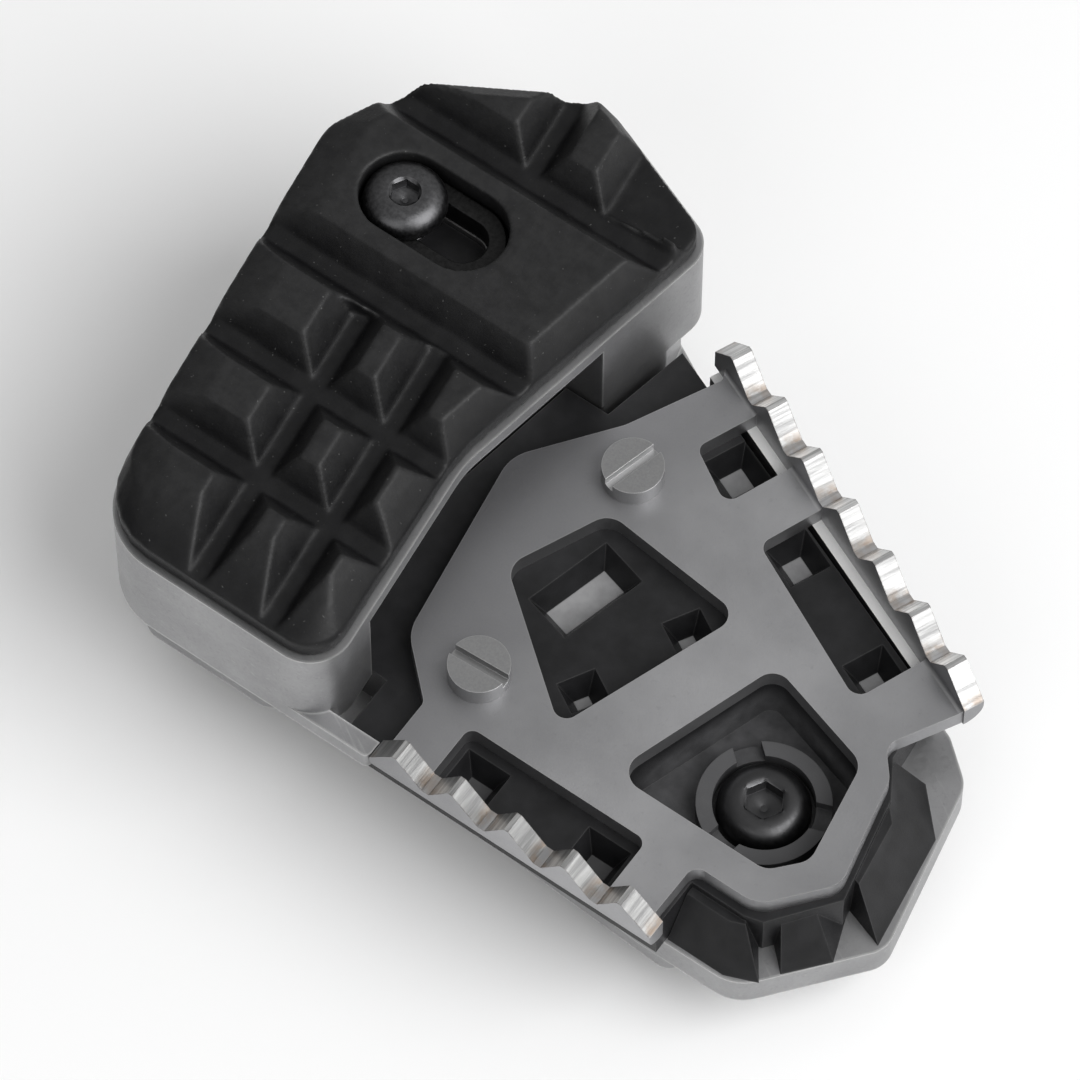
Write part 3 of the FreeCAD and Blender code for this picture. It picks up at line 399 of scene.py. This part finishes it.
def stainless_sheet():
    """Tumbled stainless sheet: soft clouds and painted sheen on the flats, ribbed cut edges painted lighter
    on the rear flange and darker on the front one, browned tooth roots.
    """
    material, tree, shader = new_material("stainless_sheet")
    shader.inputs["Metallic"].default_value = 1.0
    # Painted sheen: the plate's top is painted lighter across its middle along X and duller further along,
    # broken into soft clouds by noise
    painted_light = multiply(
        tree,
        remap(tree, place_along(tree, "X"), *PLATE_BRIGHTENS),
        remap(tree, place_along(tree, "X"), *PLATE_DULLS, 1.0, 0.45),
    )
    clouds = multiply(tree, painted_light, remap(tree, noise(tree, 0.09, 4), 0.3, 0.7, 0.55, 1.0))
    colour = mix_colour(tree, clouds, (0.235, 0.235, 0.243), (0.47, 0.47, 0.48))
    specks = remap(tree, noise(tree, 1.4, 5, 0.7), 0.6, 0.75, 0.0, 0.3)
    colour = mix_colour(tree, specks, colour, (0.23, 0.23, 0.235))

    # Cut faces of the two flanges lie edge on to the sheet's thickness there
    level = place_along(tree, "Z")
    on_flange = remap(tree, level, PLATE_TOP + 0.45, PLATE_TOP + 0.75)
    is_rear = remap(tree, place_along(tree, "Y"), *FLANGE_SPLIT)
    rear_thickness = (math.sin(REAR_ANGLE), math.cos(REAR_ANGLE), 0)
    across = choose(tree, is_rear, facing(tree, (0, 1, 0)), facing(tree, rear_thickness))
    cut = multiply(tree, remap(tree, across, 0.55, 0.35), on_flange)

    # Ribs left by the cutter run through the thickness
    along_thickness = (1.0, 0.05, 1.0)
    front_ribs = noise(tree, 1.5, 3, 0.6, along_thickness)
    rear_ribs = noise(tree, 1.5, 3, 0.6, along_thickness, REAR_ANGLE)
    ribs = choose(tree, is_rear, front_ribs, rear_ribs)
    rib_tone = remap(tree, ribs, 0.36, 0.6)
    # Painted light and shade: the rear flange's cut faces are painted lighter and the front flange's darker,
    # lit and shaded copies of one cut edge
    shaded_front_cut = mix_colour(tree, rib_tone, (0.28, 0.28, 0.28), (0.50, 0.50, 0.495))
    lit_rear_cut = mix_colour(tree, rib_tone, (0.44, 0.44, 0.44), (0.74, 0.74, 0.735))
    colour = mix_colour(tree, cut, colour, mix_colour(tree, is_rear, shaded_front_cut, lit_rear_cut))

    # Heat tint left low on the cut teeth
    low_on_tooth = remap(tree, level, PLATE_TOP + 1.9, PLATE_TOP + 0.7)
    patches = remap(tree, noise(tree, 0.6, 4), 0.42, 0.6, 0.0, 0.75)
    colour = mix_colour(tree, multiply(tree, cut, low_on_tooth, patches), colour, (0.36, 0.27, 0.20))

    edges = edge_mask(tree, 0.2 * MM)
    colour = mix_colour(tree, multiply(tree, edges, 0.7), colour, (0.50, 0.50, 0.495))
    burr = remap(tree, noise(tree, 0.9, 3), 0.35, 0.6, 0.2, 0.9)
    colour = mix_colour(tree, multiply(tree, edges, on_flange, burr), colour, (0.085, 0.07, 0.06))
    tree.links.new(colour, shader.inputs["Base Color"])
    grain = noise(tree, 4.0, 5, 0.75)
    tree.links.new(remap(tree, grain, 0.3, 0.7, 0.40, 0.54), shader.inputs["Roughness"])
    relief = combine(tree, "ADD", grain, multiply(tree, ribs, cut, 4.0))
    bump(tree, shader, relief, 0.02 * MM, 0.6)
    return material


def pad_rubber():
    """Black rubber with fine grain, dusty specks, painted shade in the grooves and slightly worn edges."""
    material, tree, shader = new_material("pad_rubber")
    shader.inputs["Specular IOR Level"].default_value = 0.28
    mottle = remap(tree, noise(tree, 0.35, 6, 0.6), 0.42, 0.72)
    colour = mix_colour(tree, mottle, (0.004, 0.004, 0.0045), (0.009, 0.009, 0.0095))
    # Painted shade: darker down in the grooves and lighter towards the lug tops, broken up by noise
    painted_light = multiply(
        tree,
        remap(tree, place_along(tree, "Z"), PAD_GROOVE + 0.6, PAD_TOP - 0.2),
        remap(tree, noise(tree, 0.6, 5, 0.65), 0.35, 0.65, 0.45, 1.0),
    )
    colour = mix_colour(tree, painted_light, colour, (0.021, 0.021, 0.0215))
    specks = remap(tree, noise(tree, 2.0, 2, 0.5), 0.71, 0.78, 0.0, 0.8)
    colour = mix_colour(tree, specks, colour, (0.10, 0.10, 0.098))
    wear = multiply(tree, edge_mask(tree, 0.5 * MM), remap(tree, noise(tree, 0.8, 4), 0.4, 0.65, 0.15, 0.9))
    colour = mix_colour(tree, wear, colour, (0.075, 0.075, 0.074))
    tree.links.new(colour, shader.inputs["Base Color"])
    grain = noise(tree, 3.0, 6, 0.7)
    tree.links.new(remap(tree, grain, 0.3, 0.7, 0.38, 0.56), shader.inputs["Roughness"])
    bump(tree, shader, grain, 0.05 * MM, 0.5)
    return material


def black_moulding():
    """Black moulded plastic with a fine grain, painted light on the pocket floors and pale dusting in the
    bowl.
    """
    material, tree, shader = new_material("black_moulding")
    shader.inputs["Specular IOR Level"].default_value = 0.3
    clouds = remap(tree, noise(tree, 0.3, 4), 0.35, 0.7)
    colour = mix_colour(tree, clouds, (0.008, 0.008, 0.0086), (0.016, 0.016, 0.0172))
    level = place_along(tree, "Z")
    # Painted light: the shaded pocket floors are painted pale grey, standing in for light caught there, less
    # so in the front window
    near_floor = band(tree, level, POCKET_FLOOR - 0.1, POCKET_FLOOR + 0.1, 0.4)
    flat = remap(tree, facing(tree, (0, 0, 1)), 0.7, 0.95)
    mottle = remap(tree, noise(tree, 0.5, 5), 0.3, 0.7, 0.75, 1.0)
    less_in_front = remap(tree, place_along(tree, "Y"), *POCKET_SPLIT, 0.2)
    pocket_floor_light = multiply(tree, near_floor, flat, mottle, less_in_front)
    colour = mix_colour(tree, pocket_floor_light, colour, (0.34, 0.34, 0.345))
    in_bowl = multiply(
        tree,
        remap(tree, distance_from_axis(tree, *BOWL_AXIS), *BOWL_DUST),
        remap(tree, level, BASE_TOP - 0.3, BASE_TOP - 2.5),
    )
    bowl_dust = multiply(tree, in_bowl, remap(tree, noise(tree, 0.4, 5), 0.3, 0.7, 0.4, 1.0))
    colour = mix_colour(tree, bowl_dust, colour, (0.075, 0.075, 0.078))
    colour = mix_colour(tree, multiply(tree, edge_mask(tree, 0.3 * MM), 0.5), colour, (0.06, 0.06, 0.06))
    tree.links.new(colour, shader.inputs["Base Color"])
    grain = noise(tree, 5.0, 4, 0.7)
    tree.links.new(remap(tree, grain, 0.3, 0.7, 0.36, 0.52), shader.inputs["Roughness"])
    bump(tree, shader, grain, 0.02 * MM, 0.5)
    return material


def metal(name, dark, light, low_roughness, high_roughness, grain_size=2.0, low_shade=None):
    """A plain metal finish between two tones, with fine wear and lighter edges.

    A low-shade colour is painted shade on what lies lower than the plate's top.
    """
    material, tree, shader = new_material(name)
    shader.inputs["Metallic"].default_value = 1.0
    grain = noise(tree, grain_size, 5, 0.65)
    colour = mix_colour(tree, remap(tree, grain, 0.35, 0.65), dark, light)
    # Painted shade: darker where the piece lies lower than the plate's top
    if low_shade:
        colour = mix_colour(tree, remap(tree, place_along(tree, "Z"), PLATE_TOP, BASE_TOP), colour, low_shade)
    worn = tuple(min(0.9, 1.5 * value) for value in light)
    colour = mix_colour(tree, edge_mask(tree, 0.2 * MM), colour, worn)
    tree.links.new(colour, shader.inputs["Base Color"])
    tree.links.new(remap(tree, grain, 0.3, 0.7, low_roughness, high_roughness), shader.inputs["Roughness"])
    bump(tree, shader, grain, 0.015 * MM, 0.5)
    return material


MATERIALS = {
    "cast_aluminium": cast_aluminium(),
    "stainless_sheet": stainless_sheet(),
    "pad_rubber": pad_rubber(),
    "black_moulding": black_moulding(),
    "black_steel": metal("black_steel", (0.02, 0.02, 0.02), (0.035, 0.035, 0.035), 0.4, 0.6),
    # The screw finish carries painted shade down in the bowl, below the plate's top
    "dark_screw_steel": metal(
        "dark_screw_steel", (0.08, 0.08, 0.083), (0.12, 0.12, 0.124), 0.3, 0.45, low_shade=(0.075, 0.075, 0.077)
    ),
    "plated_steel": metal("plated_steel", (0.42, 0.42, 0.42), (0.52, 0.52, 0.51), 0.25, 0.4),
    "bright_screw_steel": metal(
        "bright_screw_steel", (0.33, 0.33, 0.335), (0.39, 0.39, 0.39), 0.3, 0.42, grain_size=5.0
    ),
}


# Finished pieces


def add_piece(name, mesh, body, slot):
    """Put a mesh into the scene on a body, with the finish of a material slot."""
    mesh.materials.clear()
    mesh.materials.append(MATERIALS[slot])
    piece = bpy.data.objects.new(name, mesh)
    bpy.context.scene.collection.objects.link(piece)
    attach(piece, body)
    return piece


def finish_node(node, mesh):
    """Let a mesh stand for a node, on the node's body and with its finish."""
    piece = add_piece(node + "_finished", mesh, nodes[node]["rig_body"], SLOT_OF[node])
    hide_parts(node)
    return piece


def joined_copy(node):
    """A copy of a node's mesh with its doubled points merged and its flat faces joined."""
    mesh = nodes[node].data.copy()
    work = bmesh.new()
    work.from_mesh(mesh)
    bmesh.ops.remove_doubles(work, verts=work.verts, dist=MERGE_DISTANCE)
    bmesh.ops.dissolve_limit(work, angle_limit=FLAT_ANGLE, verts=work.verts, edges=work.edges)
    for face in work.faces:
        face.smooth = True
    work.to_mesh(mesh)
    work.free()
    return mesh


def rounded_piece(node):
    """A node with its sharp edges rounded."""
    radius, segments = EDGE_ROUNDING[node]
    piece = finish_node(node, joined_copy(node))
    bevel = piece.modifiers.new("rounded_edges", "BEVEL")
    bevel.width = radius * MM
    bevel.segments = segments
    bevel.limit_method = "ANGLE"
    bevel.angle_limit = ROUNDED_ANGLE
    bevel.use_clamp_overlap = True
    flats = piece.modifiers.new("even_flats", "WEIGHTED_NORMAL")
    flats.mode = "FACE_AREA"
    flats.weight = 100


def moulded_pad(node):
    """The rubber pad as one soft skin whose lugs have no sharp edge."""
    piece = finish_node(node, joined_copy(node))
    skin = piece.modifiers.new("skin", "REMESH")
    skin.mode = "VOXEL"
    skin.voxel_size = PAD_VOXEL
    skin.use_smooth_shade = True
    soft = piece.modifiers.new("soft_edges", "SMOOTH")
    soft.factor = PAD_SMOOTHING_STRENGTH
    soft.iterations = PAD_SMOOTHING


# Screws and nuts, each a stack of rings round its own axis


def hexagon_radius(angle, flats):
    """Distance from the middle of a hexagon to its edge at one angle."""
    sector = math.pi / 3
    return flats / 2 / math.cos((angle % sector) - sector / 2)


def ring(level, radius):
    """Points of one ring: its radius is a number, or a function of the angle."""
    points = []
    for index in range(RING_POINTS):
        angle = 2 * math.pi * index / RING_POINTS
        reach = radius(angle) if callable(radius) else radius
        points.append(Vector((reach * math.cos(angle), reach * math.sin(angle), level)))
    return points


def thread_rings(low, high, radius, pitch):
    """Rings of a screw thread that climbs from one level to another."""
    depth = THREAD_DEPTH * pitch
    count = max(2, round((high - low) / pitch * THREAD_STEPS))
    rings = []
    for index in range(count + 1):
        level = low + (high - low) * index / count

        def reach(angle, level=level):
            phase = (level / pitch - angle / (2 * math.pi)) % 1.0
            return radius - depth * abs(2 * phase - 1)

        rings.append(ring(level, reach))
    return rings


def ringed_mesh(work, rings, at, closed=False):
    """Join rings into walls, with a cap at each end unless the last ring meets the first."""
    loops = [[work.verts.new((point + at) * MM) for point in points] for points in rings]
    pairs = list(zip(loops, loops[1:]))
    if closed:
        pairs.append((loops[-1], loops[0]))
    for lower, upper in pairs:
        for index in range(RING_POINTS):
            after = (index + 1) % RING_POINTS
            work.faces.new((lower[index], lower[after], upper[after], upper[index]))
    if not closed:
        work.faces.new(list(reversed(loops[0])))
        work.faces.new(loops[-1])


def meshed(name, work):
    """A mesh from the work in hand, smooth except across sharp turns."""
    bmesh.ops.recalc_face_normals(work, faces=work.faces)
    for face in work.faces:
        face.smooth = len(face.verts) == 4
    for edge in work.edges:
        edge.smooth = not edge.is_manifold or edge.calc_face_angle() < SHARP_ANGLE
    mesh = bpy.data.meshes.new(name)
    work.to_mesh(mesh)
    work.free()
    return mesh


def axis_of(low, high):
    """Middle of a box in plan, in mm."""
    return Vector(((low.x + high.x) / 2, (low.y + high.y) / 2, 0)) / MM


def button_screw(node):
    """Domed screw with a hexagon socket and a cut thread."""
    sizes = BUTTON_SCREWS[node]
    low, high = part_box(node)
    bottom, top = low.z / MM, high.z / MM
    head = (high.x - low.x) / MM / 2
    seat = top - sizes["head"]
    thread = sizes["thread"]
    flats = sizes["socket"]
    lead_in = THREAD_DEPTH * sizes["pitch"]
    rings = [ring(bottom, thread - lead_in)]
    rings += thread_rings(bottom + 0.2 * lead_in, seat - lead_in, thread, sizes["pitch"])
    rings += [ring(seat - 0.5 * lead_in, thread), ring(seat, thread)]
    rings += [ring(seat, head - HEAD_BREAK), ring(seat + HEAD_BREAK, head)]
    wall = HEAD_WALL * sizes["head"]
    rings.append(ring(seat + wall, head))
    rim = flats * SOCKET_RIM
    for step in range(1, DOME_STEPS + 1):
        turn = math.pi / 2 * step / DOME_STEPS
        reach = rim + RIM_FLAT + (head - rim - RIM_FLAT) * math.cos(turn)
        rings.append(ring(seat + wall + (sizes["head"] - wall) * math.sin(turn), reach))
    rings.append(ring(top, rim))

    def socket(angle):
        return hexagon_radius(angle, flats)

    rings.append(ring(top - HEAD_BREAK, socket))
    floor = top - SOCKET_DEPTH * sizes["head"]
    rings.append(ring(floor, socket))
    rings.append(ring(floor, flats * SOCKET_FLOOR))
    rings.append(ring(floor - TIP_DEPTH, flats * SOCKET_TIP))
    work = bmesh.new()
    ringed_mesh(work, rings, axis_of(low, high))
    finish_node(node, meshed(node + "_finished", work))


def islands(node):
    """Lowest and highest corner of each separate solid of a node, in metres."""
    work = bmesh.new()
    work.from_mesh(nodes[node].data)
    bmesh.ops.remove_doubles(work, verts=work.verts, dist=MERGE_DISTANCE)
    seen = set()
    boxes = []
    for start in work.verts:
        if start in seen:
            continue
        seen.add(start)
        group = [start]
        for vertex in group:
            for edge in vertex.link_edges:
                other = edge.other_vert(vertex)
                if other not in seen:
                    seen.add(other)
                    group.append(other)
        points = [vertex.co for vertex in group]
        low = Vector([min(point[axis] for point in points) for axis in range(3)])
        high = Vector([max(point[axis] for point in points) for axis in range(3)])
        boxes.append((low, high))
    work.free()
    return boxes


def hexagon_nuts(node):
    """Hexagon nuts with turned corners and a countersunk bore."""
    sizes = NUTS[node]
    thread = sizes["thread"]
    work = bmesh.new()
    for low, high in islands(node):
        bottom, top = low.z / MM, high.z / MM
        flats = (high.y - low.y) / MM
        face = NUT_FACE * flats / 2

        def corner(angle, flats=flats):
            return hexagon_radius(angle, flats)

        def chamfer(angle, sign, edge, flats=flats, face=face):
            return edge + sign * (hexagon_radius(angle, flats) - face) * math.tan(NUT_CHAMFER)

        outer_low = ring(bottom, corner)
        outer_high = ring(top, corner)
        for index in range(RING_POINTS):
            angle = 2 * math.pi * index / RING_POINTS
            outer_low[index].z = chamfer(angle, 1, bottom)
            outer_high[index].z = chamfer(angle, -1, top)
        bore = thread + NUT_PLAY
        sink = 0.5 * sizes["pitch"]
        rings = [ring(bottom + sink, bore), ring(bottom, bore + sink), ring(bottom, face)]
        rings += [outer_low, outer_high, ring(top, face), ring(top, bore + sink), ring(top - sink, bore)]
        ringed_mesh(work, rings, axis_of(low, high), closed=True)
    finish_node(node, meshed(node + "_finished", work))


def plate_screw_threads():
    """Threaded ends of the plate screws, below their nuts."""
    work = bmesh.new()
    sizes = NUTS["tread_plate_nuts"]
    thread = sizes["thread"] + THREAD_PROUD
    nut_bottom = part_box("tread_plate_nuts")[0].z / MM
    for low, high in islands("tread_plate_screws"):
        bottom = low.z / MM - END_PROUD
        rings = [ring(bottom, sizes["thread"] - END_TAPER)]
        start = bottom + END_TAPER_HEIGHT
        rings += thread_rings(start, nut_bottom + THREAD_IN_NUT, thread, sizes["pitch"])
        ringed_mesh(work, rings, axis_of(low, high))
    name = "tread_plate_screw_threads"
    add_piece(name, meshed(name, work), "pedal", SLOT_OF["tread_plate_screws"])


def slot_shade_filler():
    """Black filler that closes the deck's slot round the pad screw, a dark piece standing in for the shade
    down the slot.
    """
    axis = axis_of(*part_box("pad_screw"))
    bottom, top = SLOT_SHADE_LEVELS

    def outline(level):
        points = ring(level, SLOT_SHADE_RADIUS)
        for point in points:
            point.x += PAD_TRAVEL if point.x > 0 else 0
        return points

    hole = BUTTON_SCREWS["pad_screw"]["thread"] + SLOT_SHADE_GAP
    work = bmesh.new()
    ringed_mesh(work, [outline(bottom), outline(top), ring(top, hole), ring(bottom, hole)], axis, closed=True)
    name = "deck_slot_painted_shade"
    add_piece(name, meshed(name, work), "pedal", "black_moulding")


for node_name in EDGE_ROUNDING:
    rounded_piece(node_name)
moulded_pad("upper_pad")
for node_name in BUTTON_SCREWS:
    button_screw(node_name)
for node_name in NUTS:
    hexagon_nuts(node_name)
plate_screw_threads()
slot_shade_filler()


# Floor, light and camera


def make_floor():
    """A pale floor just below the lowest piece."""
    material, _, shader = new_material("floor_paper")
    shader.inputs["Base Color"].default_value = (0.94, 0.94, 0.94, 1)
    shader.inputs["Roughness"].default_value = 0.9
    level = cad_box[0].z - FLOOR_GAP
    half = FLOOR_HALF
    mesh = bpy.data.meshes.new("floor")
    corners = [(-half, -half, level), (half, -half, level), (half, half, level), (-half, half, level)]
    mesh.from_pydata(corners, [], [(0, 1, 2, 3)])
    floor = bpy.data.objects.new("floor", mesh)
    bpy.context.scene.collection.objects.link(floor)
    mesh.materials.append(material)


def make_world():
    """Soft surroundings, pale overhead and to the right and rear, darker at the front left."""
    world = bpy.data.worlds.new("studio")
    world.use_nodes = True
    tree = world.node_tree
    background = tree.nodes["Background"]
    coordinates = tree.nodes.new("ShaderNodeTexCoord")
    dot = tree.nodes.new("ShaderNodeVectorMath")
    dot.operation = "DOT_PRODUCT"
    dot.inputs[1].default_value = SKY_DIRECTION
    tree.links.new(coordinates.outputs["Generated"], dot.inputs[0])
    strength = remap(tree, dot.outputs["Value"], *SKY_RANGE, *SKY_STRENGTH)
    background.inputs["Color"].default_value = (1, 1, 1, 1)
    tree.links.new(strength, background.inputs["Strength"])
    bpy.context.scene.world = world


def area_light(name, place, size, power):
    """A round lamp that faces the object."""
    light = bpy.data.lights.new(name, "AREA")
    light.shape = "DISK"
    light.size = size
    light.energy = power
    lamp = bpy.data.objects.new(name, light)
    lamp.location = place
    direction = Vector(LAMP_TARGET) - Vector(place)
    lamp.rotation_mode = "QUATERNION"
    lamp.rotation_quaternion = direction.to_track_quat("-Z", "Y")
    bpy.context.scene.collection.objects.link(lamp)


def make_camera():
    """The camera, in the photograph's direction."""
    azimuth, elevation = CAMERA_AZIMUTH, CAMERA_ELEVATION
    back = Vector(
        (
            math.sin(azimuth) * math.cos(elevation),
            -math.cos(azimuth) * math.cos(elevation),
            math.sin(elevation),
        )
    )
    data = bpy.data.cameras.new("camera")
    data.sensor_width = SENSOR_WIDTH
    data.lens = SENSOR_WIDTH * CAMERA_DISTANCE / VIEW_WIDTH
    data.clip_start, data.clip_end = CAMERA_CLIP
    camera = bpy.data.objects.new("camera", data)
    camera.location = CAMERA_TARGET + back * CAMERA_DISTANCE
    camera.rotation_mode = "QUATERNION"
    camera.rotation_quaternion = (-back).to_track_quat("-Z", "Y")
    bpy.context.scene.collection.objects.link(camera)
    bpy.context.scene.camera = camera


make_floor()
make_world()
for lamp_name, (lamp_place, lamp_size, lamp_power) in LAMPS.items():
    area_light(lamp_name, lamp_place, lamp_size, lamp_power)
make_camera()
bpy.context.scene.view_settings.view_transform = "Standard"
